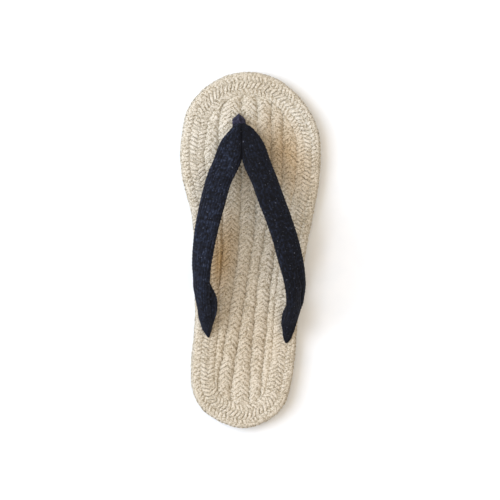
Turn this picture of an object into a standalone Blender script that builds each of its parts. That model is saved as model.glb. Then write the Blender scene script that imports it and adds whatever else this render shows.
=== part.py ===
"""Right-foot flip-flop with a coiled braid sole and a stuffed V strap.

Lengths are metres. +Z is up, +Y runs to the toe and +X to the outer side of the foot.
The origin lies on the floor, under the middle of the sole's outline.

The sole is one thick braid on edge: rows side by side in the middle, then two rounds about them.
The strap is a stuffed, flattened tube bent into a V, with a toe post under its point.
Tables give places and sizes as shares of the named sizes, one row for each section.
"""
import math

import bmesh
import bpy
import numpy as np

# Driving dimensions
SOLE_LENGTH = 0.250
BALL_WIDTH = 0.0985
SOLE_THICKNESS = 0.016
OUTER_ROUND_WIDTH = 0.0065
INNER_ROUND_WIDTH = 0.0105
ROW_FULL_WIDTH = 0.0075
GROOVE_DEPTH = 0.0028
UNDER_GROOVE_DEPTH = 0.0012
SIDE_RIB_DEPTH = 0.0008
SIDE_RIB_COUNT = 3
STRAP_WIDTH = 0.020
STRAP_THICKNESS = 0.009
STRAP_RISE = 0.034
FOLD_WIDTH = 0.0095
FOLD_THICKNESS = 0.0085
POST_WIDTH = 0.0096
POST_THICKNESS = 0.0076
ANCHOR_DEPTH = 0.009
PIECE_GAP = 0.0003

# Fineness of the meshes
ROUND_STATIONS = 72
OUTLINE_SAMPLES = 1152
CORE_STATIONS = 28
ARM_STATIONS = 30
FOLD_STATIONS = 10
POST_STATIONS = 9
TUBE_SIDES = 14
MERGE_DISTANCE = 0.00002
SHARP_ANGLE = math.radians(40.0)

# A tube's section lies between an ellipse, at 2, and a rounded box, at 4 or more
TUBE_SQUARENESS = 2.3

# A tube that runs this steeply towards the toe has its upper side turned to face up
TOEWARD_HEADING = 0.3

# Side of the foot, for the lean of a strap's arm
MEDIAL = 1.0
LATERAL = -1.0

# Sole outline, clockwise from the toe tip: share of the length from the heel, and share of
# the half ball width from the centre line, minus on the inner side of the foot
OUTLINE = (
    # along, across
    (1.000, -0.079),
    (0.969, 0.482),
    (0.940, 0.655),
    (0.884, 0.871),
    (0.827, 0.984),
    (0.760, 1.006),
    (0.686, 0.980),
    (0.603, 0.903),
    (0.500, 0.800),
    (0.390, 0.715),
    (0.275, 0.665),
    (0.204, 0.640),
    (0.147, 0.604),
    (0.091, 0.539),
    (0.048, 0.425),
    (0.018, 0.225),
    (0.000, -0.079),
    (0.018, -0.430),
    (0.048, -0.655),
    (0.091, -0.795),
    (0.147, -0.842),
    (0.204, -0.830),
    (0.290, -0.790),
    (0.430, -0.790),
    (0.540, -0.803),
    (0.610, -0.842),
    (0.686, -0.945),
    (0.770, -0.994),
    (0.840, -0.960),
    (0.892, -0.895),
    (0.940, -0.727),
    (0.971, -0.535),
)

# Grooves between the middle rows, from the inner side of the foot to the outer side: share of
# the length, then the share of the half ball width of each groove
GROOVES = (
    # along, first, second, third, fourth, fifth
    (1.000, -0.280, -0.129, 0.094, 0.295, 0.450),
    (0.941, -0.317, -0.129, 0.094, 0.295, 0.453),
    (0.890, -0.432, -0.129, 0.094, 0.295, 0.460),
    (0.840, -0.462, -0.129, 0.094, 0.295, 0.460),
    (0.756, -0.460, -0.129, 0.094, 0.290, 0.455),
    (0.629, -0.417, -0.144, 0.079, 0.259, 0.417),
    (0.544, -0.403, -0.162, 0.050, 0.209, 0.378),
    (0.470, -0.410, -0.193, -0.005, 0.140, 0.333),
    (0.374, -0.475, -0.266, -0.079, 0.083, 0.270),
    (0.289, -0.540, -0.331, -0.144, 0.045, 0.230),
    (0.204, -0.600, -0.403, -0.209, 0.007, 0.187),
    (0.119, -0.650, -0.475, -0.273, -0.014, 0.151),
    (0.000, -0.700, -0.550, -0.335, -0.040, 0.110),
)

# Section of a row's rounded top: share of the row's width, then share of the groove's depth
ROW_TOP = (
    # across, up
    (0.0, 0.0),
    (0.2, 0.7),
    (0.5, 1.0),
    (0.8, 0.7),
)

# The same underneath, where a row is flat between its grooves
ROW_UNDER = (
    # across, down
    (0.0, 0.0),
    (0.2, 1.0),
    (0.8, 1.0),
)

# Sections of the strap's arms, from the point of the V to the tail inside the sole. Rise is a
# share of the strap's rise above the sole, or of the anchor depth where it is below zero.
# Lean is in degrees, the outer edge down.
MEDIAL_ARM = (
    # along, across, rise, width, thickness, lean
    (0.849, -0.152, 0.33, 0.20, 0.55, 0.0),
    (0.838, -0.183, 0.34, 0.38, 0.78, 2.0),
    (0.823, -0.230, 0.37, 0.50, 0.85, 4.0),
    (0.798, -0.280, 0.44, 0.77, 0.95, 7.0),
    (0.747, -0.343, 0.57, 1.00, 1.00, 12.0),
    (0.699, -0.445, 0.71, 0.94, 1.00, 15.0),
    (0.652, -0.532, 0.84, 0.91, 1.00, 20.0),
    (0.543, -0.669, 1.00, 0.88, 0.97, 36.0),
    (0.434, -0.727, 0.89, 0.79, 0.92, 55.0),
    (0.378, -0.714, 0.69, 0.66, 0.90, 57.0),
    (0.327, -0.674, 0.42, 0.51, 0.86, 50.0),
    (0.293, -0.645, 0.19, 0.38, 0.80, 30.0),
    (0.272, -0.626, -0.05, 0.29, 0.72, 10.0),
    (0.266, -0.622, -0.50, 0.27, 0.64, 0.0),
    (0.264, -0.622, -1.00, 0.26, 0.62, 0.0),
)
LATERAL_ARM = (
    # along, across, rise, width, thickness, lean
    (0.849, -0.128, 0.33, 0.20, 0.55, 0.0),
    (0.838, -0.097, 0.34, 0.38, 0.78, 2.0),
    (0.823, -0.045, 0.37, 0.53, 0.85, 4.0),
    (0.798, 0.002, 0.44, 0.79, 0.95, 7.0),
    (0.747, 0.062, 0.57, 1.00, 1.00, 10.0),
    (0.699, 0.163, 0.71, 0.94, 1.00, 12.0),
    (0.652, 0.251, 0.84, 0.92, 1.00, 14.0),
    (0.543, 0.444, 1.00, 0.90, 1.00, 20.0),
    (0.488, 0.509, 1.00, 0.92, 0.98, 27.0),
    (0.434, 0.577, 0.89, 0.90, 0.95, 40.0),
    (0.378, 0.612, 0.69, 0.85, 0.92, 50.0),
    (0.327, 0.582, 0.42, 0.68, 0.88, 50.0),
    (0.293, 0.553, 0.20, 0.46, 0.82, 32.0),
    (0.262, 0.521, -0.05, 0.30, 0.74, 10.0),
    (0.255, 0.518, -0.50, 0.27, 0.64, 0.0),
    (0.252, 0.518, -1.00, 0.26, 0.62, 0.0),
)

# Each arm folds over itself, on the side of the foot, where it narrows to its tail
MEDIAL_FOLD = (
    # along, across, rise, width, thickness, lean
    (0.430, -0.705, 0.86, 0.30, 0.50, 40.0),
    (0.400, -0.650, 0.72, 0.75, 0.85, 36.0),
    (0.375, -0.604, 0.59, 0.95, 1.00, 32.0),
    (0.350, -0.580, 0.46, 1.00, 1.00, 28.0),
    (0.320, -0.592, 0.30, 0.93, 0.95, 18.0),
    (0.292, -0.616, 0.13, 0.70, 0.85, 8.0),
    (0.276, -0.624, 0.00, 0.45, 0.70, 0.0),
)
LATERAL_FOLD = (
    # along, across, rise, width, thickness, lean
    (0.372, 0.590, 0.62, 0.30, 0.50, 40.0),
    (0.345, 0.545, 0.47, 0.75, 0.85, 34.0),
    (0.322, 0.514, 0.34, 0.95, 1.00, 28.0),
    (0.295, 0.504, 0.19, 0.90, 1.00, 16.0),
    (0.266, 0.512, 0.02, 0.50, 0.75, 0.0),
)

# The toe post, from inside the sole up to the underside of the V
POST = (
    # along, across, rise, width, thickness, lean
    (0.870, -0.172, -1.00, 0.55, 0.66, 0.0),
    (0.870, -0.172, -0.30, 0.55, 0.66, 0.0),
    (0.870, -0.172, 0.03, 0.60, 0.72, 0.0),
    (0.867, -0.172, 0.12, 0.85, 0.90, 0.0),
    (0.856, -0.170, 0.22, 1.00, 1.00, 0.0),
    (0.840, -0.165, 0.28, 1.00, 0.95, 0.0),
)


def natural_spline(values, places, samples):
    """Smooth curve through a row for each place, with no bend at its two ends."""
    count = len(values)
    steps = np.diff(places)
    system = np.eye(count)
    pull = np.zeros_like(values)
    for row in range(1, count - 1):
        system[row, row - 1] = steps[row - 1]
        system[row, row] = 2.0 * (steps[row - 1] + steps[row])
        system[row, row + 1] = steps[row]
        ahead = (values[row + 1] - values[row]) / steps[row]
        behind = (values[row] - values[row - 1]) / steps[row - 1]
        pull[row] = 6.0 * (ahead - behind)
    bends = np.linalg.solve(system, pull)
    span = np.clip(np.searchsorted(places, samples, side="right") - 1, 0, count - 2)
    step = steps[span][:, None]
    after = (samples - places[span])[:, None] / step
    before = 1.0 - after
    straight = before * values[span] + after * values[span + 1]
    curl = (before ** 3 - before) * bends[span] + (after ** 3 - after) * bends[span + 1]
    return straight + curl * step ** 2 / 6.0


def chord_places(points):
    """Distance run along a chain of points, from its first point."""
    lengths = np.linalg.norm(np.diff(points, axis=0), axis=1)
    return np.concatenate(([0.0], np.cumsum(lengths)))


def place(along, across):
    """Floor position of a share of the length and of the half ball width."""
    return (along - 0.5) * SOLE_LENGTH, across * 0.5 * BALL_WIDTH


def outline_stations():
    """Evenly spaced points of the sole's outline and the inward direction at each."""
    marks = np.array([place(*row)[::-1] for row in OUTLINE])
    lap = 3
    ring = np.vstack([marks[-lap:], marks, marks[:lap + 1]])
    run = chord_places(ring)
    samples = np.linspace(run[lap], run[lap + len(marks)], OUTLINE_SAMPLES + 1)
    fine = natural_spline(ring, run, samples)
    fine -= 0.5 * (fine.min(axis=0) + fine.max(axis=0))
    fine_run = chord_places(fine)
    wanted = np.linspace(0.0, fine_run[-1], ROUND_STATIONS, endpoint=False)
    points = np.column_stack([np.interp(wanted, fine_run, fine[:, axis]) for axis in (0, 1)])
    heading = np.roll(points, -1, axis=0) - np.roll(points, 1, axis=0)
    heading /= np.linalg.norm(heading, axis=1)[:, None]
    inward = np.column_stack((heading[:, 1], -heading[:, 0]))
    return points, inward


def new_object(name, bm, material):
    """Object from a bmesh, smooth shaded with its sharp edges kept."""
    bmesh.ops.recalc_face_normals(bm, faces=bm.faces)
    mesh = bpy.data.meshes.new(name)
    bm.to_mesh(mesh)
    bm.free()
    mesh.materials.append(material)
    mesh.shade_smooth()
    mesh.set_sharp_from_angle(angle=SHARP_ANGLE)
    obj = bpy.data.objects.new(name, mesh)
    bpy.context.collection.objects.link(obj)
    return obj


def helper_object(name, bm, material):
    """Object that only shapes another one."""
    obj = new_object(name, bm, material)
    obj.hide_render = True
    obj.display_type = "WIRE"
    return obj


def combine(target, other, operation):
    """Add a live Boolean to the target."""
    modifier = target.modifiers.new(operation.lower() + "_" + other.name, "BOOLEAN")
    modifier.operation = operation
    modifier.solver = "EXACT"
    modifier.object = other


def grid_faces(bm, rings, closed_run):
    """Quads between successive closed rings of vertices."""
    count = len(rings)
    spans = count if closed_run else count - 1
    for index in range(spans):
        near = rings[index]
        far = rings[(index + 1) % count]
        for side in range(len(near)):
            after = (side + 1) % len(near)
            bm.faces.new((near[side], near[after], far[after], far[side]))


def sweep_round(section):
    """Bmesh of a section carried once round the outline; section rows are (inset, height)."""
    points, inward = outline_stations()
    bm = bmesh.new()
    rings = []
    for point, inner in zip(points, inward):
        ring = [bm.verts.new((*(point + inset * inner), height)) for inset, height in section]
        rings.append(ring)
    grid_faces(bm, rings, True)
    return bm


def rounded_top(start, end):
    """Points over a row's rounded top, from the groove on one side to the groove on the other."""
    foot = SOLE_THICKNESS - GROOVE_DEPTH
    width = end - start
    points = [(start + width * across, foot + GROOVE_DEPTH * up) for across, up in ROW_TOP]
    return points + [(end, foot)]


def outer_round_section():
    """Section of the outer round: ribbed wall outside, rounded top, plain wall inside."""
    inner_wall = OUTER_ROUND_WIDTH - 0.5 * PIECE_GAP
    wall_foot = UNDER_GROOVE_DEPTH
    wall_top = SOLE_THICKNESS - GROOVE_DEPTH
    rib_height = (wall_top - wall_foot) / SIDE_RIB_COUNT
    section = [(SIDE_RIB_DEPTH + UNDER_GROOVE_DEPTH, 0.0)]
    for rib in range(SIDE_RIB_COUNT):
        foot = wall_foot + rib * rib_height
        section.append((SIDE_RIB_DEPTH, foot))
        section.append((0.0, foot + 0.5 * rib_height))
    section += rounded_top(SIDE_RIB_DEPTH, inner_wall)
    section.append((inner_wall, wall_foot))
    section.append((inner_wall - UNDER_GROOVE_DEPTH, 0.0))
    return section


def inner_round_section():
    """Section of the inner round: rounded top, plain walls, flat underside."""
    outer_wall = OUTER_ROUND_WIDTH + 0.5 * PIECE_GAP
    inner_wall = OUTER_ROUND_WIDTH + INNER_ROUND_WIDTH - 0.5 * PIECE_GAP
    section = [(outer_wall + UNDER_GROOVE_DEPTH, 0.0), (outer_wall, UNDER_GROOVE_DEPTH)]
    section += rounded_top(outer_wall, inner_wall)
    section.append((inner_wall, UNDER_GROOVE_DEPTH))
    section.append((inner_wall - UNDER_GROOVE_DEPTH, 0.0))
    return section


def crossings(loop, level):
    """Lowest and highest X where a closed loop of points crosses a level of Y."""
    following = np.roll(loop, -1, axis=0)
    low = np.minimum(loop[:, 1], following[:, 1])
    high = np.maximum(loop[:, 1], following[:, 1])
    hit = (low <= level) & (level < high)
    share = (level - loop[hit, 1]) / (following[hit, 1] - loop[hit, 1])
    where = loop[hit, 0] + share * (following[hit, 0] - loop[hit, 0])
    return where.min(), where.max()


def core_levels(edge):
    """Stations of Y from heel to toe inside the edge, closer together at both ends."""
    end_inset = 1.5 * PIECE_GAP
    low = edge[:, 1].min() + end_inset
    high = edge[:, 1].max() - end_inset
    turn = np.linspace(0.0, math.pi, CORE_STATIONS)
    return 0.5 * (low + high) - 0.5 * (high - low) * np.cos(turn)


def core_bmesh():
    """Bmesh of the middle rows: crowns and grooves on top and underneath, in one block."""
    points, inward = outline_stations()
    inset = OUTER_ROUND_WIDTH + INNER_ROUND_WIDTH + 0.5 * PIECE_GAP
    edge = points + inset * inward
    levels = core_levels(edge)
    table = np.array(GROOVES)[::-1]
    level_shares = levels / SOLE_LENGTH + 0.5
    grooves = natural_spline(table[:, 1:], table[:, 0], level_shares) * 0.5 * BALL_WIDTH
    foot = SOLE_THICKNESS - GROOVE_DEPTH
    bm = bmesh.new()
    rings = []
    for level, lines in zip(levels, grooves):
        first, last = crossings(edge, level)
        bounds = np.concatenate(([first], np.clip(lines, first, last), [last]))
        widths = np.diff(bounds)
        fullness = np.minimum(1.0, widths / ROW_FULL_WIDTH)
        profile = []
        for start, width, full in zip(bounds, widths, fullness):
            for across, up in ROW_UNDER:
                profile.append((start + across * width, UNDER_GROOVE_DEPTH * (1.0 - up * full)))
        profile.append((last, UNDER_GROOVE_DEPTH))
        upper = []
        for start, width, full in zip(bounds, widths, fullness):
            for across, up in ROW_TOP:
                upper.append((start + across * width, foot + GROOVE_DEPTH * up * full))
        upper.append((last, foot))
        profile += upper[::-1]
        rings.append([bm.verts.new((x, level, z)) for x, z in profile])
    grid_faces(bm, rings, False)
    bm.faces.new(rings[0])
    bm.faces.new(rings[-1])
    bmesh.ops.remove_doubles(bm, verts=bm.verts, dist=MERGE_DISTANCE)
    bmesh.ops.dissolve_degenerate(bm, edges=bm.edges, dist=MERGE_DISTANCE)
    return bm


def height_above_floor(rise):
    """Height of a rise share: up from the sole's top, or down into it below zero."""
    reach = np.where(rise < 0.0, ANCHOR_DEPTH, STRAP_RISE)
    return SOLE_THICKNESS + rise * reach


def tube_bmesh(table, width, thickness, side, stations, grow):
    """Bmesh of a flattened tube through the rows of a table, grown by a clearance."""
    rows = np.array(table)
    y, x = place(rows[:, 0], rows[:, 1])
    centres = np.column_stack((x, y, height_above_floor(rows[:, 2])))
    run = chord_places(centres)
    values = np.column_stack((centres, rows[:, 3] * width, rows[:, 4] * thickness, rows[:, 5]))
    smooth = natural_spline(values, run, np.linspace(0.0, run[-1], stations))
    middle = smooth[:, :3]
    heading = np.gradient(middle, axis=0)
    heading /= np.linalg.norm(heading, axis=1)[:, None]
    middle[0] -= heading[0] * grow
    middle[-1] += heading[-1] * grow
    across = np.array((1.0, 0.0, 0.0)) - heading[:, :1] * heading
    across /= np.linalg.norm(across, axis=1)[:, None]
    upward = np.cross(heading, across)
    upward *= np.where(heading[:, 1:2] > TOEWARD_HEADING, -1.0, 1.0)
    lean = np.radians(smooth[:, 5:6]) * side
    wide = across * np.cos(lean) + upward * np.sin(lean)
    deep = upward * np.cos(lean) - across * np.sin(lean)
    turn = np.arange(TUBE_SIDES) * 2.0 * math.pi / TUBE_SIDES
    power = 2.0 / TUBE_SQUARENESS
    round_x = np.sign(np.cos(turn)) * np.abs(np.cos(turn)) ** power
    round_y = np.sign(np.sin(turn)) * np.abs(np.sin(turn)) ** power
    bm = bmesh.new()
    rings = []
    for row in range(stations):
        half_wide = 0.5 * smooth[row, 3] + grow
        half_deep = 0.5 * smooth[row, 4] + grow
        ring = [
            bm.verts.new(middle[row] + half_wide * cx * wide[row] + half_deep * cy * deep[row])
            for cx, cy in zip(round_x, round_y)
        ]
        rings.append(ring)
    grid_faces(bm, rings, False)
    bm.faces.new(rings[0])
    bm.faces.new(rings[-1])
    return bm


def cotton(name, colour, roughness):
    """Matt cotton of one colour."""
    material = bpy.data.materials.new(name)
    material.use_nodes = True
    shader = material.node_tree.nodes["Principled BSDF"]
    shader.inputs["Base Color"].default_value = (*colour, 1.0)
    shader.inputs["Roughness"].default_value = roughness
    shader.inputs["Metallic"].default_value = 0.0
    return material


def arm_bmesh(table, side, grow):
    """One arm of the strap."""
    return tube_bmesh(table, STRAP_WIDTH, STRAP_THICKNESS, side, ARM_STATIONS, grow)


def fold_bmesh(table, side, grow):
    """The fold beside an arm's tail."""
    return tube_bmesh(table, FOLD_WIDTH, FOLD_THICKNESS, side, FOLD_STATIONS, grow)


def strap_tubes(grow):
    """Name and bmesh of each tube that the strap is joined from, grown by a clearance."""
    return (
        ("medial_arm", arm_bmesh(MEDIAL_ARM, MEDIAL, grow)),
        ("lateral_arm", arm_bmesh(LATERAL_ARM, LATERAL, grow)),
        ("medial_fold", fold_bmesh(MEDIAL_FOLD, MEDIAL, grow)),
        ("lateral_fold", fold_bmesh(LATERAL_FOLD, LATERAL, grow)),
    )


def post_bmesh(grow):
    """The toe post before the V's underside trims it."""
    return tube_bmesh(POST, POST_WIDTH, POST_THICKNESS, MEDIAL, POST_STATIONS, grow)


def build_sole():
    """The sole's three pieces, from the middle out."""
    rows_cotton = cotton("undyed_cotton_rows", (0.69, 0.61, 0.48), 0.92)
    inner_cotton = cotton("undyed_cotton_inner_round", (0.71, 0.63, 0.50), 0.92)
    outer_cotton = cotton("undyed_cotton_outer_round", (0.71, 0.63, 0.50), 0.92)
    return (
        new_object("sole_core", core_bmesh(), rows_cotton),
        new_object("sole_inner_round", sweep_round(inner_round_section()), inner_cotton),
        new_object("sole_outer_round", sweep_round(outer_round_section()), outer_cotton),
    )


def build_strap():
    """The V strap as one body: both arms and both folds joined."""
    navy_cotton = cotton("navy_cotton_braid", (0.010, 0.013, 0.035), 0.88)
    (_, first), *others = strap_tubes(0.0)
    strap = new_object("strap", first, navy_cotton)
    for name, bm in others:
        combine(strap, helper_object("strap_" + name, bm, navy_cotton), "UNION")


def build_post():
    """The toe post."""
    indigo_cotton = cotton("indigo_cotton_cord", (0.022, 0.024, 0.060), 0.90)
    return new_object("toe_post", post_bmesh(0.0), indigo_cotton)


def make_room(pieces, core):
    """Cut the strap's place out of the pieces, and the post's place out of the middle rows."""
    cutter_cotton = cotton("cutter", (0.5, 0.5, 0.5), 0.9)
    for name, bm in strap_tubes(PIECE_GAP):
        room = helper_object("room_for_" + name, bm, cutter_cotton)
        for piece in pieces:
            combine(piece, room, "DIFFERENCE")
    room = helper_object("room_for_post", post_bmesh(PIECE_GAP), cutter_cotton)
    combine(core, room, "DIFFERENCE")


def main():
    for obj in list(bpy.data.objects):
        bpy.data.objects.remove(obj)
    sole = build_sole()
    build_strap()
    post = build_post()
    make_room((*sole, post), sole[0])


main()
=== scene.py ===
# %% [markdown]
# # A braided flip-flop for the right foot
#
# The real shoe is made from two kinds of cotton braid. A thick undyed one is laid in rows and
# then in two rounds, and sewn together, which makes the sole. A navy one is knitted as a tube,
# stuffed, pressed flat and bent into a V, which makes the strap.
#
# This lesson dresses the plain solids of the shoe. Each piece is worked out with numpy as whole
# arrays of points, put into a mesh, and given a cotton whose pattern has real thread sizes.
# First the solids are loaded, because every size below starts from them.

# %% The frame that everything fits
import math

import bpy
import numpy as np
from mathutils import Matrix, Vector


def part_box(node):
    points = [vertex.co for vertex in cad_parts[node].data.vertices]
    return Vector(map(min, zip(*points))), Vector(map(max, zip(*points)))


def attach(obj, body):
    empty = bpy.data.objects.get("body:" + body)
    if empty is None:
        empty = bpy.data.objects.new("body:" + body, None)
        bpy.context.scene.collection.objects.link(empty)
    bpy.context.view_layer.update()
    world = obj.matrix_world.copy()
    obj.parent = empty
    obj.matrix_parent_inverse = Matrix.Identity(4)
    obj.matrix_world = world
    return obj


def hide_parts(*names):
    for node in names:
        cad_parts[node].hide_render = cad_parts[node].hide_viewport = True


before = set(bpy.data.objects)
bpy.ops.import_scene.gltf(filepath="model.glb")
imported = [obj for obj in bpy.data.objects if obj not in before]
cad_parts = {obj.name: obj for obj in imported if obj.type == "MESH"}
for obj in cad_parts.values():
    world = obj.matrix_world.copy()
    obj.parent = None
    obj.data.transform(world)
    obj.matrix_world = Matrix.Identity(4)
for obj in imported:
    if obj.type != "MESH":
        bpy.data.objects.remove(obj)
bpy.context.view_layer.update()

sole_low, sole_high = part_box("sole_outer_round")
SOLE_LENGTH = sole_high.y - sole_low.y
HALF_BALL = 0.5 * (sole_high.x - sole_low.x)
SOLE_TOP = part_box("sole_core")[1].z
print("sole, mm: %.1f long, %.1f wide, %.1f thick"
      % (1000 * SOLE_LENGTH, 2000 * HALF_BALL, 1000 * SOLE_TOP))

# %% [markdown]
# ## Smooth lines through a few chosen places
#
# A shoemaker draws an outline by bending a thin spring through a few marks. The curve that such
# a spring takes is the natural cubic spline, so a short table of marks is enough for each line.
# Blender has curve objects for this, but here the points are needed as arrays, to lay strands
# beside them.

# %% Splines and distances
def chord_run(points):
    """Distance along a chain of points: the running sum of the lengths of its steps."""
    steps = np.linalg.norm(np.diff(points, axis=0), axis=1)
    return np.concatenate(([0.0], np.cumsum(steps)))


def spring_line(values, places, samples):
    """Natural cubic spline: straight between two marks, plus a cubic curl that makes the bend
    the same on both sides of each mark and zero at both ends."""
    steps = np.diff(places)
    count = len(places)
    system = np.eye(count)
    inner = np.arange(1, count - 1)
    system[inner, inner - 1] = steps[:-1]
    system[inner, inner] = 2.0 * (steps[:-1] + steps[1:])
    system[inner, inner + 1] = steps[1:]
    slopes = np.diff(values, axis=0) / steps[:, None]
    pull = np.zeros_like(values)
    pull[1:-1] = 6.0 * np.diff(slopes, axis=0)
    bends = np.linalg.solve(system, pull)
    span = np.clip(np.searchsorted(places, samples, side="right") - 1, 0, count - 2)
    step = steps[span][:, None]
    after = (samples - places[span])[:, None] / step
    before = 1.0 - after
    straight = before * values[span] + after * values[span + 1]
    curl = (before ** 3 - before) * bends[span] + (after ** 3 - after) * bends[span + 1]
    return straight + curl * step ** 2 / 6.0


def unit(vectors):
    """Each vector over its own length."""
    return vectors / np.linalg.norm(vectors, axis=-1, keepdims=True)


def oval(turn, power):
    """Across and up, at some angles, of the oval |x|^n + |y|^n = 1: a circle when n is 2, and
    almost a box when it is high."""
    return (np.sign(wave) * np.abs(wave) ** (2.0 / power) for wave in (np.cos(turn), np.sin(turn)))


# %% [markdown]
# ## The sole's outline
#
# All of the sole follows one line: both rounds of braid run beside it, and the rows inside stop
# at them. The marks are shares of the length, from the heel, and of half the width of the ball,
# from the middle line. The inner side of the foot is minus.

# %% Outline and the direction into the sole
OUTLINE = np.array((
    # along, across
    (1.000, -0.079), (0.969, 0.482), (0.940, 0.655), (0.884, 0.871),
    (0.827, 0.984), (0.760, 1.006), (0.686, 0.980), (0.603, 0.903),
    (0.500, 0.800), (0.390, 0.715), (0.275, 0.665), (0.204, 0.640),
    (0.147, 0.604), (0.091, 0.539), (0.048, 0.425), (0.018, 0.225),
    (0.000, -0.079), (0.018, -0.430), (0.048, -0.655), (0.091, -0.795),
    (0.147, -0.842), (0.204, -0.830), (0.290, -0.790), (0.430, -0.790),
    (0.540, -0.803), (0.610, -0.842), (0.686, -0.945), (0.770, -0.994),
    (0.840, -0.960), (0.892, -0.895), (0.940, -0.727), (0.971, -0.535),
))
OUTLINE_STATIONS = 720
OUTLINE_LAP = 3


def place(along, across):
    """Floor position, X then Y, of a share of the length and a share of half the ball."""
    return np.stack((across * HALF_BALL, (along - 0.5) * SOLE_LENGTH), axis=-1)


def sole_outline():
    """Evenly spaced outline points, first repeated last, and the inward direction at each."""
    marks = place(OUTLINE[:, 0], OUTLINE[:, 1])
    ring = np.vstack((marks[-OUTLINE_LAP:], marks, marks[:OUTLINE_LAP + 1]))
    run = chord_run(ring)
    fine = spring_line(ring, run, np.linspace(run[OUTLINE_LAP], run[OUTLINE_LAP + len(marks)],
                                              4 * OUTLINE_STATIONS))
    fine -= 0.5 * (fine.min(axis=0) + fine.max(axis=0))
    fine_run = chord_run(fine)
    even = np.linspace(0.0, fine_run[-1], OUTLINE_STATIONS + 1)
    points = np.stack([np.interp(even, fine_run, fine[:, axis]) for axis in (0, 1)], axis=-1)
    points[-1] = points[0]
    heading = unit(np.roll(points[:-1], -1, axis=0) - np.roll(points[:-1], 1, axis=0))
    inward = np.stack((heading[:, 1], -heading[:, 0]), axis=-1)
    return points, np.vstack((inward, inward[:1]))


outline, inward = sole_outline()
print("outline, mm round: %.0f" % (1000 * chord_run(outline)[-1]))

# %% [markdown]
# ## Closed tubes
#
# All the cotton of this shoe is made of tubes: each strand of the braid, the body under the
# strands, each arm of the strap. In a mesh a tube is rings of points, with quads between them and
# a fan of triangles to a point at each open end. A curve with a bevel makes a tube too, but its
# section keeps one form. So the faces are numbered here once, for all tubes.

# %% Faces of a tube
def tube_faces(stations, sides, closed_run, uv_size, uv_spans=None):
    """Quads and end triangles of a tube, numbered ring by ring and then its two tips, each with
    the UV of its corners. UV runs over uv_size[0] once round, and over uv_size[1] in uv_spans
    steps from ring to ring, which are as many as the quads unless given."""
    spans = stations if closed_run else stations - 1
    row, side = np.meshgrid(np.arange(spans), np.arange(sides), indexing="ij")
    ahead = (row + 1) % stations
    after = (side + 1) % sides
    quads = np.stack((row * sides + side, ahead * sides + side,
                      ahead * sides + after, row * sides + after), axis=-1).reshape(-1, 4)
    quad_uv = np.stack((
        np.stack((side, side, side + 1, side + 1), axis=-1) * uv_size[0] / sides,
        np.stack((row, row + 1, row + 1, row), axis=-1) * uv_size[1] / (uv_spans or spans),
    ), axis=-1).reshape(-1, 4, 2)
    if closed_run:
        return quads, quad_uv, np.zeros((0, 3), dtype=int), np.zeros((0, 3, 2))
    turn = np.arange(sides)
    following = (turn + 1) % sides
    last = (stations - 1) * sides
    tip = stations * sides
    start_fan = np.stack((np.full_like(turn, tip), turn, following), axis=-1)
    end_fan = np.stack((np.full_like(turn, tip + 1), last + following, last + turn), axis=-1)
    around = np.stack((turn + 0.5, turn, turn + 1), axis=-1) * uv_size[0] / sides
    fan_uv = np.concatenate((
        np.stack((around, np.zeros_like(around)), axis=-1),
        np.stack((around[:, (0, 2, 1)], np.full_like(around, uv_size[1])), axis=-1),
    ))
    return quads, quad_uv, np.vstack((start_fan, end_fan)), fan_uv


# %% [markdown]
# ## A braid as strands on a strip
#
# A flat braid shows two strips side by side. On each strip the strands lie next to each other at
# a slant, each one rising from the groove and diving under a strand of the other strip. So the
# whole sole is made from strips: each has two edges, a direction that faces out, and a number of
# strands. One strand is a short closed tube, almost even along its length, with blunt ends that
# dive under its neighbours. Hand work is never even, so each strand has its own small share of
# chance in its place, slant, fullness, height and tone.
#
# A Geometry Nodes instance on a curve could do this too. Arrays are chosen here because each
# strand has to reach from one edge of its strip to the other, and the strips change width.

# %% Strips
ROW_STRAY = 0.0003
ROUND_STRAY = 0.00008
STRAY_WAVES = (0.019, 0.031, 0.011)
dice = np.random.default_rng(7)


def settled(points, stray):
    """Points pushed sideways and along by slow waves, since hand-sewn rows never lie quite
    straight. Each push is stray times a sine of the place, whose phase is another sine."""
    x, y = points[..., 0], points[..., 1]
    long_wave, wide_wave, short_wave = (2.0 * np.pi / length for length in STRAY_WAVES)
    pushed = points.copy()
    pushed[..., 0] += stray * np.sin(long_wave * y + 2.0 * np.sin(wide_wave * x))
    pushed[..., 0] += 0.5 * stray * np.sin(short_wave * y - 1.5 * np.sin(long_wave * x))
    pushed[..., 1] += stray * np.sin(wide_wave * y + 2.5 * np.sin(long_wave * x))
    return pushed


def read_line(strip, values, run):
    """Values of a strip's line at other distances along it; a closed strip starts again."""
    period = strip["run"][-1] if strip["closed"] else None
    return np.stack([np.interp(run, strip["run"], values[:, axis], period=period)
                     for axis in range(3)], axis=-1)


def make_strip(edge_from, edge_to, outward, closed, crown):
    """A strip between two lines of points. Crown is how far its middle stands out of straight."""
    middle = 0.5 * (edge_from + edge_to)
    return {
        "run": chord_run(middle), "from": edge_from, "to": edge_to,
        "out": unit(outward), "closed": closed, "crown": crown,
    }


# %% Strands
STRAND_RINGS = 6
STRAND_SIDES = 8
STRAND_LIFT = 0.00025
STRAND_TUCK = 0.18
STRAND_OVERLAP = 1.06
STRAND_BLUNTNESS = 0.28
STRAND_DIVE = 0.35
STRAND_TWIST = 0.35
NARROWEST_STRIP = 0.0013
END_CLEARANCE = 0.3
PITCH_SPREAD = 0.10
REACH_SPREAD = 0.15
PLUMP_SPREAD = 0.12
RAISE_SPREAD = 0.00018
# painted light and shade: a strand's tone rises from the deepest tone with its height, along it and
# round it; a random tint is added for each strand
DEEPEST_TONE = 0.50
SHADE_BY_HEIGHT = 0.22
TONE_BY_STRAND = 0.22
HEIGHT_ALONG = 0.4


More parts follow.
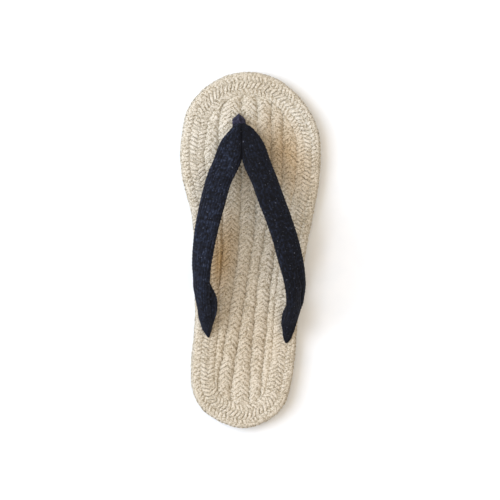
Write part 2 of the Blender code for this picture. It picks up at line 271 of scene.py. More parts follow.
def lay_strands(strip, pitch, slant, thickness, phase, stray):
    """Strands across a strip, as a shell of points, quads and triangles.

    A strand's middle line goes from edge to edge while it moves slant times the strip's width
    along it. It follows the strip's crown, a half sine, stands out by the lift in the middle, and
    dives at both ends, by a share of its thickness that grows with the square of the way down.
    Its half width and half depth follow a low power of a half sine: almost even along it, then
    closed at both tips.
    """
    total = strip["run"][-1]
    count = max(int(round(total / pitch)), 2)
    centre = (np.arange(count) + phase) * total / count
    centre += dice.uniform(-PITCH_SPREAD, PITCH_SPREAD, count) * pitch
    span = read_line(strip, strip["to"], centre) - read_line(strip, strip["from"], centre)
    width = np.linalg.norm(span, axis=-1)
    reach = slant * width * dice.uniform(1.0 - REACH_SPREAD, 1.0 + REACH_SPREAD, count)
    keep = width > NARROWEST_STRIP
    if not strip["closed"]:
        clear = END_CLEARANCE * abs(reach)
        keep &= (centre > clear) & (centre < total - clear)
    centre, width, reach = centre[keep], width[keep], reach[keep]
    kept = len(centre)
    plump = dice.uniform(1.0 - PLUMP_SPREAD, 1.0 + PLUMP_SPREAD, kept)
    tint = dice.uniform(0.0, 1.0, kept)
    raised = dice.uniform(-RAISE_SPREAD, RAISE_SPREAD, kept)

    share = np.linspace(0.0, 1.0, STRAND_RINGS + 2)
    run = centre[:, None] + (share - 0.5) * reach[:, None]
    across = (share * (1.0 + 2.0 * STRAND_TUCK) - STRAND_TUCK)[:, None]
    start = read_line(strip, strip["from"], run)
    end = read_line(strip, strip["to"], run)
    out = unit(read_line(strip, strip["out"], run))
    arch = np.sin(np.pi * share)
    stand = arch * (strip["crown"] + STRAND_LIFT) + raised[:, None]
    stand -= STRAND_DIVE * thickness * (1.0 - arch) ** 2
    line = settled(start + (end - start) * across + stand[..., None] * out, stray)

    heading = unit(np.gradient(line, axis=1))
    side = unit(np.cross(heading, out))
    up = np.cross(side, heading)
    spacing = pitch / math.hypot(1.0, slant)
    shape = np.abs(arch)[None, :, None, None] ** STRAND_BLUNTNESS
    full = np.minimum(1.0, width / (2.0 * thickness)) * plump
    turn = 2.0 * np.pi * (np.arange(STRAND_SIDES) + 0.5) / STRAND_SIDES
    ring = (0.5 * STRAND_OVERLAP * spacing * np.cos(turn)[:, None] * side[:, :, None, :]
            + 0.5 * thickness * np.sin(turn)[:, None] * up[:, :, None, :])
    body = (line[:, :, None, :] + shape * full[:, None, None, None] * ring)[:, 1:-1]
    points = np.concatenate((body.reshape(kept, -1, 3), line[:, (0, -1)]), axis=1)

    # Painted light and shade: paler on the strand's back and in its middle, darker at its sides and
    # where it dives.
    on_back = np.tile(np.abs(np.sin(turn)), STRAND_RINGS)
    height = (HEIGHT_ALONG * np.repeat(arch[1:-1], STRAND_SIDES)
              + (1.0 - HEIGHT_ALONG) * on_back)
    height = np.concatenate((height, (0.0, 0.0)))
    tone = DEEPEST_TONE + SHADE_BY_HEIGHT * height[None, :] + TONE_BY_STRAND * tint[:, None]
    quads, quad_uv, fans, fan_uv = tube_faces(STRAND_RINGS, STRAND_SIDES, False,
                                              (1.0, STRAND_TWIST), STRAND_RINGS)
    first = (np.arange(kept) * points.shape[1])[:, None, None]
    shift = np.stack((np.zeros(kept), dice.uniform(0.0, 1.0, kept)), axis=-1)[:, None, None, :]
    return facing_out({
        "points": points.reshape(-1, 3),
        "quads": (quads[None] + first).reshape(-1, 4),
        "fans": (fans[None] + first).reshape(-1, 3),
        "quad_uv": (quad_uv[None] + shift).reshape(-1, 4, 2),
        "fan_uv": (fan_uv[None] + shift).reshape(-1, 3, 2),
        "tone": tone.reshape(-1),
        "count": kept,
    })


# %% [markdown]
# ## The bed under the strands
#
# Between the strands one looks down into more cotton. A closed body among them gives that: they
# stand out of it by little, as on a braid that is sewn down hard. For a round of braid it is an
# oval section carried round the outline, and a second narrow one fills the seam between the two
# rounds. For the rows it is a block with a soft crown under each row.

# %% Shells of tubes
def tube_shell(rings, closed_run, tone, uv_size=(1.0, 1.0)):
    """Shell of a tube from a grid of points (station, side, xyz), with a point at each open end."""
    stations, sides = rings.shape[:2]
    quads, quad_uv, fans, fan_uv = tube_faces(stations, sides, closed_run, uv_size)
    points = rings.reshape(-1, 3)
    shade = tone.reshape(-1)
    if not closed_run:
        points = np.vstack((points, rings[0].mean(axis=0), rings[-1].mean(axis=0)))
        shade = np.concatenate((shade, (tone[0].mean(), tone[-1].mean())))
    return facing_out({"points": points, "quads": quads, "fans": fans,
                       "quad_uv": quad_uv, "fan_uv": fan_uv, "tone": shade, "count": 1})


def facing_out(shell):
    """The same shell with its faces turned out. They face in where six times its volume, the sum
    of a x (b x c) over its triangles, comes out below nothing."""
    corners = np.vstack((shell["quads"][:, :3], shell["quads"][:, (0, 2, 3)], shell["fans"]))
    a, b, c = (shell["points"][corners[:, k]] for k in range(3))
    if np.einsum("ij,ij->", a, np.cross(b, c)) > 0.0:
        return shell
    faces = ("quads", "fans", "quad_uv", "fan_uv")
    return {key: value[:, ::-1] if key in faces else value for key, value in shell.items()}


def joined(shells):
    """Several shells as one: the points one after the other, the faces renumbered."""
    firsts = np.cumsum([0, *(len(shell["points"]) for shell in shells[:-1])])
    whole = {key: np.concatenate([shell[key] for shell in shells])
             for key in ("points", "quad_uv", "fan_uv", "tone")}
    for key in ("quads", "fans"):
        whole[key] = np.concatenate([shell[key] + first for shell, first in zip(shells, firsts)])
    return whole


def add_object(name, data):
    """Object of a mesh, a light or a camera, put into the scene."""
    made = bpy.data.objects.new(name, data)
    bpy.context.scene.collection.objects.link(made)
    return made


def piece(name, shell, material):
    """Mesh object of a shell, with a UV map, a tone for each point, and smooth shading."""
    mesh = bpy.data.meshes.new(name)
    quads, fans = shell["quads"], shell["fans"]
    corners = np.concatenate((quads.ravel(), fans.ravel())).astype(np.int32)
    starts = np.concatenate((np.arange(len(quads)) * 4, 4 * len(quads) + np.arange(len(fans)) * 3))
    uv = np.concatenate((shell["quad_uv"].reshape(-1, 2), shell["fan_uv"].reshape(-1, 2)))
    mesh.vertices.add(len(shell["points"]))
    mesh.vertices.foreach_set("co", shell["points"].astype(np.float32).ravel())
    mesh.loops.add(len(corners))
    mesh.loops.foreach_set("vertex_index", corners)
    mesh.polygons.add(len(starts))
    mesh.polygons.foreach_set("loop_start", starts.astype(np.int32))
    mesh.update(calc_edges=True)
    mesh.uv_layers.new(name="UVMap").data.foreach_set("uv", uv.astype(np.float32).ravel())
    tone = mesh.attributes.new("tone", "FLOAT", "POINT")
    tone.data.foreach_set("value", shell["tone"].astype(np.float32))
    mesh.shade_smooth()
    mesh.materials.append(material)
    print("%s: %d triangles" % (name, 2 * len(quads) + len(fans)))
    return add_object(name, mesh)


# %% [markdown]
# ## Cotton
#
# Cotton is matt: light goes into a thread and comes out everywhere, and loose fibre ends catch
# light at the edges, which a little sheen gives. Undyed cotton is a warm cream; here it is painted
# browner where it lies deep, as shade. One function turns the hex values of a colour chart into
# the linear values that a shader needs, and one adds a node with its settings and links.

# %% Colours and nodes
COTTON_SPECULAR = 0.25
COTTON_IOR = 1.5
# sockets of the Mix node that carry colours
MIX_BELOW, MIX_ABOVE, MIX_RESULT = 6, 7, 2


def linear(hex_value):
    """Linear RGBA of an sRGB hex value: x / 12.92 near black, else ((x + 0.055) / 1.055) ^ 2.4."""
    channels = [int(hex_value[k:k + 2], 16) / 255.0 for k in (0, 2, 4)]
    return (*(c / 12.92 if c <= 0.04045 else ((c + 0.055) / 1.055) ** 2.4 for c in channels), 1.0)


def add_node(material, kind, inputs=None, **settings):
    """Add a node. Settings are its properties, and inputs give each socket a value or a link."""
    made = material.node_tree.nodes.new("ShaderNode" + kind)
    for name, value in settings.items():
        setattr(made, name, value)
    for socket, value in (inputs or {}).items():
        if isinstance(value, bpy.types.NodeSocket):
            material.node_tree.links.new(value, made.inputs[socket])
        else:
            made.inputs[socket].default_value = value
    return made


def new_material(name):
    """Material with an empty node tree."""
    material = bpy.data.materials.new(name)
    material.use_nodes = True
    material.node_tree.nodes.clear()
    return material


def ramp(material, factor, stops):
    """Colour output of a ramp with the given (place, hex) stops."""
    made = add_node(material, "ValToRGB", {"Fac": factor})
    elements = made.color_ramp.elements
    elements[0].position, elements[0].color = stops[0][0], linear(stops[0][1])
    elements[1].position, elements[1].color = stops[-1][0], linear(stops[-1][1])
    for position, hex_value in stops[1:-1]:
        elements.new(position).color = linear(hex_value)
    return made.outputs["Color"]


def blend_colour(material, factor, below, above, mode="MIX"):
    """Colour output of a mix of two colours."""
    return add_node(material, "Mix", {0: factor, MIX_BELOW: below, MIX_ABOVE: above},
                    data_type="RGBA", blend_type=mode).outputs[MIX_RESULT]


def maths(material, operation, *values):
    """Output of a node that works on one, two or three values."""
    return add_node(material, "Math", dict(enumerate(values)), operation=operation).outputs[0]


def noise(material, where, size, detail):
    """Noise from 0 to 1 whose largest patches have the given size in metres."""
    return add_node(material, "TexNoise", {
        "Vector": where, "Scale": 1.0 / size, "Detail": detail,
    }).outputs["Fac"]


def stirred(material, tone, fine, coarse, fine_share, strength):
    """Tone plus a grain: a share of the fine noise plus the coarse one, less the half that each
    has on average, times a strength."""
    grain = maths(material, "MULTIPLY_ADD", fine, fine_share, coarse)
    grain = maths(material, "ADD", grain, -0.5 * (1.0 + fine_share))
    return maths(material, "MULTIPLY_ADD", grain, strength, tone)


def give_surface(material, sockets):
    """Surface of a material, from the sockets of the Principled shader."""
    shader = add_node(material, "BsdfPrincipled", sockets)
    add_node(material, "OutputMaterial", {"Surface": shader.outputs["BSDF"]})


# %% [markdown]
# ### Undyed cotton yarn, braided
#
# Each strand of the sole is a bundle of soft yarns with a slight twist. At the size of the
# picture a yarn of 0.5 mm is thinner than a pixel, so the twist is drawn coarser, as six yarns
# round a strand. The tone that each point carries is painted light and shade, paler on the
# strand's back and browner where it dives, plus a random tint for each strand. Fibres and slubs,
# about 0.6 and 1.2 mm long, stir that tone into the speckle of raw cotton, and a slow noise
# makes some stretches a little darker. Shade is painted brown in two places beside the strap,
# where its shadow falls, and the braid is painted a very faint brown over the heel.

# %% Undyed cotton
YARNS_ROUND_STRAND = 6.0
WAVE_UNIT = 10.0
FIBRE_SIZE = 0.0006
SLUB_SIZE = 0.0012
PATCH_SIZE = 0.030
PATCH_SHARE = 0.35
CREAM_FIBRE_SHARE = 0.8
CREAM_GRAIN = 2.0
YARN_DISTORTION = 0.6
FIBRE_IN_RELIEF = 0.5
# painted shade: two brown spots beside the strap, where its shadow falls, and a very faint brown
# one over the heel
STRAP_SHADE_AND_HEEL_SPOTS = (
    # middle, half sizes, turn in degrees, share of brown in the middle
    ((-0.0215, -0.0065, 0.0150), (0.0150, 0.0430, 0.0120), -9.0, 1.0),
    ((0.0255, 0.0680, 0.0150), (0.0200, 0.0400, 0.0100), 26.0, 0.8),
    ((0.0050, -0.0600, 0.0150), (0.0600, 0.1000, 0.0400), 0.0, 0.3),
)


def brown_spot(material, where, middle, half_sizes, turn, share):
    """Share of brown: given for the middle of an oval spot, it falls evenly to nothing at its
    edge."""
    placed = add_node(material, "Mapping", {
        "Vector": where, "Location": middle, "Rotation": (0.0, 0.0, math.radians(turn)),
        "Scale": half_sizes,
    }, vector_type="TEXTURE")
    fall = add_node(material, "TexGradient", {"Vector": placed.outputs["Vector"]},
                    gradient_type="SPHERICAL").outputs["Fac"]
    return maths(material, "MULTIPLY", fall, share)


def undyed_cotton():
    """Cream cotton yarn, braided. It is matt and a little fuzzy, so the eye sees soft speckled
    strands and no gloss at all. The brown depths between them and the brown spots beside the
    strap are painted shade."""
    material = new_material("undyed_cotton_yarn_braided")
    where = add_node(material, "TexCoord")
    place_on_shoe = where.outputs["Object"]
    tone = add_node(material, "Attribute", attribute_name="tone").outputs["Fac"]
    patch = noise(material, place_on_shoe, PATCH_SIZE, 3.0)
    fibre = noise(material, place_on_shoe, FIBRE_SIZE, 2.0)
    slub = noise(material, place_on_shoe, SLUB_SIZE, 1.0)
    cream = ramp(material, stirred(material, tone, fibre, slub, CREAM_FIBRE_SHARE, CREAM_GRAIN), (
        (0.05, "857B68"), (0.42, "B1AC9C"), (0.72, "CAC8BE"), (1.0, "E0DFD8")))
    patches = ramp(material, patch, ((0.35, "DCCDB0"), (0.65, "FFFCF6")))
    warm = blend_colour(material, PATCH_SHARE, cream, patches, "MULTIPLY")
    # painted shade beside the strap, and a faint brown over the heel
    shade_and_heel = 0.0
    for spot in STRAP_SHADE_AND_HEEL_SPOTS:
        shade_and_heel = maths(material, "MAXIMUM", shade_and_heel, brown_spot(material, place_on_shoe, *spot))
    warm = blend_colour(material, shade_and_heel, warm, linear("DDC094"), "MULTIPLY")
    yarn = add_node(material, "TexWave", {
        "Vector": where.outputs["UV"], "Scale": 2.0 * math.pi * YARNS_ROUND_STRAND / WAVE_UNIT,
        "Distortion": YARN_DISTORTION, "Detail": 1.0,
    }, bands_direction="DIAGONAL")
    relief = maths(material, "MULTIPLY_ADD", fibre, FIBRE_IN_RELIEF, yarn.outputs["Fac"])
    bump = add_node(material, "Bump", {"Height": relief, "Strength": 0.45, "Distance": 0.0003})
    give_surface(material, {
        "Base Color": warm, "Roughness": 0.93, "Specular IOR Level": COTTON_SPECULAR,
        "IOR": COTTON_IOR, "Sheen Weight": 0.15, "Sheen Roughness": 0.5,
        "Normal": bump.outputs["Normal"],
    })
    return material


cream_cotton = undyed_cotton()

# %% [markdown]
# ## The two rounds
#
# A round's section is given by the borders between its strips of braid: how far inside the
# outline each border lies, how high, and which way the strip after it faces. The outer round has
# two narrow strips on top, three down its side, which are the ribs of the sole's edge, and two
# underneath. The inner round has two wider strips on top and two underneath. The strands lie
# 2.9 mm apart, closer than those of the rows, as they do on the shoe.

# %% Rounds of braid
ROUND_PITCH = 0.0029
ROUND_SLANT = 0.75
ROUND_STRAND = 0.0011
BED_SIDES = 24
BED_POWER = 5.0
BED_TONE = 0.68
OUTER_CROWN, INNER_CROWN = 0.0004, 0.0006
OUTER_BEDS = (
    # inset from, inset to, lowest, highest
    (0.0007, 0.0066, 0.0006, 0.0152),
)
INNER_BEDS = (
    (0.0065, 0.0170, 0.0006, 0.0151),
    (0.0046, 0.0086, 0.0090, 0.0149),
)

OUTER_BORDERS = (
    # inset, height, facing inward, facing up: each strip lies between two rows
    (0.0064, 0.0146, -0.1, 1.0),
    (0.0034, 0.0150, -0.5, 0.9),
    (0.0010, 0.0128, -1.0, 0.1),
    (0.0008, 0.0088, -1.0, 0.0),
    (0.0008, 0.0050, -1.0, -0.1),
    (0.0012, 0.0022, -0.3, -1.0),
    (0.0036, 0.0015, 0.0, -1.0),
    (0.0063, 0.0017, 0.0, -1.0),
)
INNER_TOP_BORDERS = (
    (0.0066, 0.0146, -0.2, 1.0),
    (0.0118, 0.0150, 0.2, 1.0),
    (0.0170, 0.0132, 0.2, 1.0),
)
INNER_UNDER_BORDERS = (
    (0.0168, 0.0018, 0.0, -1.0),
    (0.0118, 0.0015, 0.0, -1.0),
    (0.0068, 0.0017, 0.0, -1.0),
)


def round_line(inset, height):
    """The outline moved inwards, at a height."""
    return np.column_stack((outline + inset * inward, np.full(len(outline), height)))


def round_strips(borders, crown):
    """Closed strips between successive borders of a round's section."""
    strips = []
    for (inset, height, face_in, face_up), following in zip(borders, borders[1:]):
        out = np.column_stack((face_in * inward, np.full(len(inward), face_up)))
        edges = round_line(inset, height), round_line(*following[:2])
        strips.append(make_strip(*edges, out, True, crown))
    return strips


def round_bed(inset_from, inset_to, low, high):
    """Bed of a round: an oval that is almost a box, carried round the outline."""
    across, up = oval(2.0 * np.pi * np.arange(BED_SIDES) / BED_SIDES, BED_POWER)
    inset = 0.5 * (inset_from + inset_to) + 0.5 * (inset_to - inset_from) * across
    height = 0.5 * (low + high) + 0.5 * (high - low) * up
    flat = outline[:-1, None] + inset[:, None] * inward[:-1, None]
    rings = np.concatenate((flat, np.broadcast_to(height[:, None], (*flat.shape[:2], 1))), axis=-1)
    return tube_shell(rings, True, np.full(rings.shape[:2], BED_TONE))


def braid_round(name, border_sets, beds, crown):
    """One round of braid: its beds and the strands of all its strips, slanted to and fro."""
    shells = [round_bed(*bed) for bed in beds]
    for borders in border_sets:
        for index, strip in enumerate(round_strips(borders, crown)):
            slant = ROUND_SLANT if index % 2 else -ROUND_SLANT
            shells.append(lay_strands(strip, ROUND_PITCH, slant, ROUND_STRAND,
                                      0.5 * (index % 2), ROUND_STRAY))
    print(name, "strands:", sum(shell["count"] for shell in shells[len(beds):]))
    return piece(name, joined(shells), cream_cotton)


outer_round = braid_round("outer_round_of_braid", (OUTER_BORDERS,), OUTER_BEDS, OUTER_CROWN)
inner_round = braid_round("inner_round_of_braid", (INNER_TOP_BORDERS, INNER_UNDER_BORDERS),
                          INNER_BEDS, INNER_CROWN)

# %% [markdown]
# ## The rows in the middle
#
# Six rows of braid run from the heel to the toe, between five grooves that fan out at the ball.
# The marks below say where the grooves lie, as shares like the outline's. The first and last row
# end at the inner round, so their outer borders follow its edge and they narrow to a point.

# %% Row borders
GROOVES = np.array((
    # along, then the five grooves from the inner side of the foot to the outer side
    (0.000, -0.700, -0.550, -0.335, -0.040, 0.110),
    (0.119, -0.650, -0.475, -0.273, -0.014, 0.151),
    (0.204, -0.600, -0.403, -0.209, 0.007, 0.187),
    (0.289, -0.540, -0.331, -0.144, 0.045, 0.230),
    (0.374, -0.475, -0.266, -0.079, 0.083, 0.270),
    (0.470, -0.410, -0.193, -0.005, 0.140, 0.333),
    (0.544, -0.403, -0.162, 0.050, 0.209, 0.378),
    (0.629, -0.417, -0.144, 0.079, 0.259, 0.417),
    (0.756, -0.460, -0.129, 0.094, 0.290, 0.455),
    (0.840, -0.462, -0.129, 0.094, 0.295, 0.460),
    (0.890, -0.432, -0.129, 0.094, 0.295, 0.460),
    (0.941, -0.317, -0.129, 0.094, 0.295, 0.453),
    (1.000, -0.280, -0.129, 0.094, 0.295, 0.450),
))
ROWS = 6
ROUNDS_WIDTH = 0.0171
LEVEL_COUNT = 180
LEVEL_MARGIN = 0.0004
ROW_TUCK = 0.0012
BORDER_GAP = 0.00002
BALL_LEVEL = 0.06


def row_borders():
    """X of the seven borders of the six rows at each level of Y, from heel to toe. The outer ones
    run a little under the inner round. A border that would leave them stops a hair inside, so
    that no two borders fall together."""
    edge = outline + (ROUNDS_WIDTH - ROW_TUCK) * inward
    toe, heel = edge[:, 1].argmax(), edge[:, 1].argmin()
    lateral, medial = edge[toe:heel + 1][::-1], np.vstack((edge[heel:], edge[:toe + 1]))
    turn = np.linspace(0.0, np.pi, LEVEL_COUNT)
    low, high = edge[heel, 1] + LEVEL_MARGIN, edge[toe, 1] - LEVEL_MARGIN
    level = 0.5 * (low + high) - 0.5 * (high - low) * np.cos(turn)
    first = np.interp(level, medial[:, 1], medial[:, 0])
    last = np.interp(level, lateral[:, 1], lateral[:, 0])
    lines = spring_line(GROOVES[:, 1:], GROOVES[:, 0], level / SOLE_LENGTH + 0.5) * HALF_BALL
    order = np.arange(1, lines.shape[1] + 1)
    lines = np.clip(lines, first[:, None] + BORDER_GAP * order,
                    last[:, None] - BORDER_GAP * order[::-1])
    return level, np.column_stack((first, lines, last))


def row_line(across, level, height):
    """Points at one height along a row's border or middle."""
    return np.column_stack((across, level, np.broadcast_to(height, level.shape)))


row_level, row_border = row_borders()
ball_borders = row_border[row_level.searchsorted(BALL_LEVEL)]
print("rows, mm wide at the ball:", np.round(1000 * np.diff(ball_borders), 1))

# %% The rows' strands and bed
ROW_PITCH = 0.0039
ROW_SLANT = 1.20
ROW_STRAND = 0.0013
FULL_ROW_WIDTH = 0.0085
ROW_BED_SAMPLES = 8
ROW_BED_POWER = 0.6
BED_LIFT = 0.0003
BED_FLOOR = 0.0013
ROW_SECTION = {
    # facing: groove's height, ridge's height, crown
    1.0: (0.0120, 0.0148, 0.0010),
    -1.0: (0.0019, 0.0015, 0.0002),
}


def row_strips(facing):
    """Two strips for each row, both from a groove to the row's middle line."""
    strips = []
    groove, ridge, crown = ROW_SECTION[facing]
    out = np.column_stack((np.zeros((LEVEL_COUNT, 2)), np.full(LEVEL_COUNT, facing)))
    for left, right in zip(row_border.T, row_border.T[1:]):
        fullness = np.minimum(1.0, (right - left) / FULL_ROW_WIDTH)
        middle = row_line(0.5 * (left + right), row_level, groove + (ridge - groove) * fullness)
        for side, border in enumerate((left, right)):
            strips.append((side, make_strip(row_line(border, row_level, groove), middle,
                                            out, False, crown)))
    return strips


def row_bed():
    """Bed of the rows: across each level its top swells between the grooves, as a power of a
    sine, and its underside is flat."""
    groove, ridge, _ = ROW_SECTION[1.0]
    samples = np.linspace(0.0, ROWS, ROWS * ROW_BED_SAMPLES + 1)
    across = np.stack([np.interp(samples, np.arange(ROWS + 1), line) for line in row_border])
    swell = np.abs(np.sin(np.pi * samples)) ** ROW_BED_POWER
    top = groove + BED_LIFT + (ridge - groove) * swell
    upper = np.stack((across, np.broadcast_to(row_level[:, None], across.shape),
                      np.broadcast_to(top, across.shape)), axis=-1)
    lower = upper[:, ::-1].copy()
    lower[..., 2] = BED_FLOOR
    rings = np.concatenate((upper, lower), axis=1)
    return tube_shell(rings, False, np.full(rings.shape[:2], BED_TONE))


def braid_rows():
    """All six rows: on each the strands of the left and right strip point to the toe."""
    shells = [row_bed()]
    for facing in ROW_SECTION:
        for side, strip in row_strips(facing):
            shells.append(lay_strands(strip, ROW_PITCH, ROW_SLANT, ROW_STRAND,
                                      0.5 * side, ROW_STRAY))
    print("rows, strands:", sum(shell["count"] for shell in shells[1:]))
    return piece("rows_of_braid", joined(shells), cream_cotton)


rows = braid_rows()

# %% [markdown]
# ## The strap
#
# Each arm of the V is a tube along a path, wide and flat in the middle and gathered to a tail at
# the heel end. A row of the table is one section: place along and across the sole, height above
# it as a share of the strap's rise, width and thickness as shares of the full ones, and lean, by
# which the outer edge hangs lower.
#
# The knit is worked into the surface itself. It has ribs along the tube, and on each rib a chain
# of stitches shaped like a V. The relief is a cosine across the rib, times a cosine along it that
# lags behind with the distance from the rib's middle, which bends each stitch into the V. The tone
# is painted paler on the backs of ribs and stitches and darker between them, as light and shade.
# Chance makes each stitch a little higher and paler than the next. Slow lumps of the stuffing and
# a few pressed creases go over the knit. Where the arms meet, both are pressed against one plane,
# and shade is painted along that seam. The inner arm is painted lighter and the outer arm darker,
# as light and shade. A cloth simulation could stuff such a bag, but it would lose the ribs and
# that seam.

# %% Strap sections
STRAP_WIDTH = 0.020
STRAP_THICKNESS = 0.009
STRAP_ABOVE_MIDDLE = 0.0068
STRAP_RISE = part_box("strap")[1].z - SOLE_TOP - STRAP_ABOVE_MIDDLE
ANCHOR_DEPTH = 0.006
FOLD_WIDTH = 0.0095
FOLD_THICKNESS = 0.0085
SECTION_POWER = 2.3

MEDIAL_ARM = (
    # along, across, rise, width, thickness, lean
    (0.849, -0.152, 0.33, 0.20, 0.55, 0.0),
    (0.838, -0.183, 0.34, 0.38, 0.78, 2.0),
    (0.823, -0.230, 0.37, 0.50, 0.85, 4.0),
    (0.798, -0.280, 0.44, 0.77, 0.95, 7.0),
    (0.747, -0.356, 0.57, 0.94, 1.00, 12.0),
    (0.699, -0.467, 0.71, 0.91, 1.00, 15.0),
    (0.652, -0.540, 0.84, 0.90, 1.00, 20.0),
    (0.543, -0.669, 1.00, 0.88, 0.97, 36.0),
    (0.434, -0.727, 0.89, 0.79, 0.92, 55.0),
    (0.378, -0.714, 0.69, 0.66, 0.90, 57.0),
    (0.327, -0.674, 0.42, 0.51, 0.86, 50.0),
    (0.293, -0.645, 0.19, 0.38, 0.80, 30.0),
    (0.272, -0.626, 0.02, 0.25, 0.62, 10.0),
    (0.260, -0.617, -0.06, 0.11, 0.34, 0.0),
    (0.254, -0.611, -0.35, 0.03, 0.10, 0.0),
)
LATERAL_ARM = (
    (0.849, -0.128, 0.33, 0.20, 0.55, 0.0),
    (0.838, -0.097, 0.34, 0.38, 0.78, 2.0),
    (0.823, -0.045, 0.37, 0.53, 0.85, 4.0),
    (0.798, 0.002, 0.44, 0.79, 0.95, 7.0),
    (0.747, 0.071, 0.57, 0.955, 1.00, 10.0),
    (0.699, 0.168, 0.71, 0.92, 1.00, 12.0),
    (0.652, 0.251, 0.84, 0.92, 1.00, 14.0),
    (0.543, 0.444, 1.00, 0.90, 1.00, 20.0),
    (0.488, 0.520, 1.00, 0.92, 0.98, 27.0),
    (0.434, 0.587, 0.89, 0.91, 0.95, 40.0),
    (0.378, 0.622, 0.69, 0.88, 0.92, 50.0),
    (0.327, 0.588, 0.42, 0.68, 0.88, 50.0),
    (0.293, 0.556, 0.20, 0.46, 0.82, 32.0),
    (0.262, 0.533, 0.03, 0.33, 0.66, 10.0),
    (0.249, 0.526, 0.00, 0.22, 0.42, 0.0),
    (0.2425, 0.518, -0.10, 0.11, 0.22, 0.0),
    (0.239, 0.515, -0.50, 0.04, 0.08, 0.0),
)
MEDIAL_FOLD = (
    (0.430, -0.705, 0.86, 0.30, 0.50, 40.0),
    (0.400, -0.650, 0.72, 0.75, 0.85, 36.0),
    (0.375, -0.604, 0.59, 0.95, 1.00, 32.0),
    (0.350, -0.580, 0.46, 1.00, 1.00, 28.0),
    (0.320, -0.592, 0.30, 0.93, 0.95, 18.0),
    (0.292, -0.616, 0.13, 0.70, 0.85, 8.0),
    (0.276, -0.624, 0.00, 0.45, 0.70, 0.0),
)
LATERAL_FOLD = (
    (0.364, 0.596, 0.59, 0.30, 0.50, 40.0),
    (0.338, 0.550, 0.45, 0.75, 0.85, 34.0),
    (0.316, 0.526, 0.32, 0.95, 1.00, 28.0),
    (0.292, 0.516, 0.18, 0.90, 1.00, 16.0),
    (0.262, 0.517, 0.02, 0.50, 0.75, 0.0),
)
TOE_POST = (
    (0.870, -0.172, -1.00, 0.55, 0.66, 0.0),
    (0.870, -0.172, -0.30, 0.55, 0.66, 0.0),
    (0.870, -0.172, 0.03, 0.60, 0.72, 0.0),
    (0.867, -0.172, 0.12, 0.85, 0.90, 0.0),
    (0.856, -0.170, 0.22, 1.00, 1.00, 0.0),
    (0.840, -0.165, 0.28, 1.00, 0.95, 0.0),
)
POST_WIDTH = 0.0096
POST_THICKNESS = 0.0076
SEAM_ACROSS = -0.1405
SEAM_SOFTNESS = 0.0012
SEAM_PRESS = 0.00068
# painted shade along the seam: how dark, and how far it reaches
SEAM_PAINTED_SHADE = 0.9
SEAM_SHADE_REACH = 0.0021

# %% Knitted, stuffed tubes
SAMPLES_PER_RIB = 6
SAMPLES_PER_STITCH = 7
EDGE_SAMPLES = 1441
STITCH_LENGTH = 0.0025
RIB_DEPTH = 0.00012
STITCH_DEPTH = 0.00026
STITCH_LAG = 0.8
STITCH_LEAST, STITCH_SPREAD = 0.6, 0.8
FULL_RELIEF_WIDTH = 0.25
LUMP_DEPTH = 0.00030
LUMP_LENGTHS = (0.023, 0.013)
SHORT_LUMP_SHARE = 0.6
# painted shade and light: tone of the valley, and what a rib and a stitch add, for all stitches and
# by a stitch's chance
VALLEY_TONE, RIB_TONE, STITCH_TONE = 0.14, 0.06, 0.16
OWN_TONE, OWN_RIB_TONE, OWN_STITCH_TONE = 0.20, 0.15, 0.15


def even_turns(count, wide, deep):
    """Angles that part the edge of an oval into equal lengths: its length is summed in small
    steps of sqrt((wide sin)^2 + (deep cos)^2) and read backwards."""
    fine = np.linspace(0.0, 2.0 * np.pi, EDGE_SAMPLES)
    step = np.hypot(wide * np.sin(fine), deep * np.cos(fine))
    run = np.concatenate(([0.0], np.cumsum(0.5 * (step[1:] + step[:-1]))))
    return np.interp(np.linspace(0.0, run[-1], count, endpoint=False), run, fine)


def tube_frame(table, width, thickness, side, step):
    """Middle line, both section directions and both half sizes of a tube, a station every step."""
    along, sideways, rise, wide_share, deep_share, leans = np.array(table).T
    height = SOLE_TOP + rise * np.where(rise < 0.0, ANCHOR_DEPTH, STRAP_RISE)
    centres = np.column_stack((place(along, sideways), height))
    run = chord_run(centres)
    values = np.column_stack((centres, wide_share * width, deep_share * thickness, leans))
    smooth = spring_line(values, run, np.linspace(0.0, run[-1], int(run[-1] / step)))
    middle = smooth[:, :3]
    heading = unit(np.gradient(middle, axis=0))
    across = unit(np.array((1.0, 0.0, 0.0)) - heading[:, :1] * heading)
    upward = np.cross(heading, across)
    lean = np.radians(smooth[:, 5:6]) * side
    wide = across * np.cos(lean) + upward * np.sin(lean)
    deep = upward * np.cos(lean) - across * np.sin(lean)
    return middle, wide, deep, 0.5 * smooth[:, 3], 0.5 * smooth[:, 4], chord_run(middle)


def knit_relief(rib_share, along):
    """Heights of the rib and of the stitch, each from 0 to 1: a cosine across the rib, and a
    cosine along it that lags with the distance from the rib's middle."""
    off_middle = np.abs(rib_share - np.floor(rib_share) - 0.5) * 2.0
    rib = 0.5 + 0.5 * np.cos(np.pi * off_middle)
    stitch = 0.5 + 0.5 * np.cos(2.0 * np.pi * (along + STITCH_LAG * off_middle))
    return rib, stitch


def lumps(turn, run):
    """Soft lumps of the stuffing: two slow sines that wind round the tube as they go along it,
    full on its broad faces and nothing at its edges."""
    long_wave, short_wave = (2.0 * np.pi / length for length in LUMP_LENGTHS)
    slow = np.sin(long_wave * run + 2.0 * np.cos(turn))
    quick = np.sin(short_wave * run - np.cos(turn) - 1.0)
    return LUMP_DEPTH * (slow + SHORT_LUMP_SHARE * quick) * np.sin(turn) ** 2


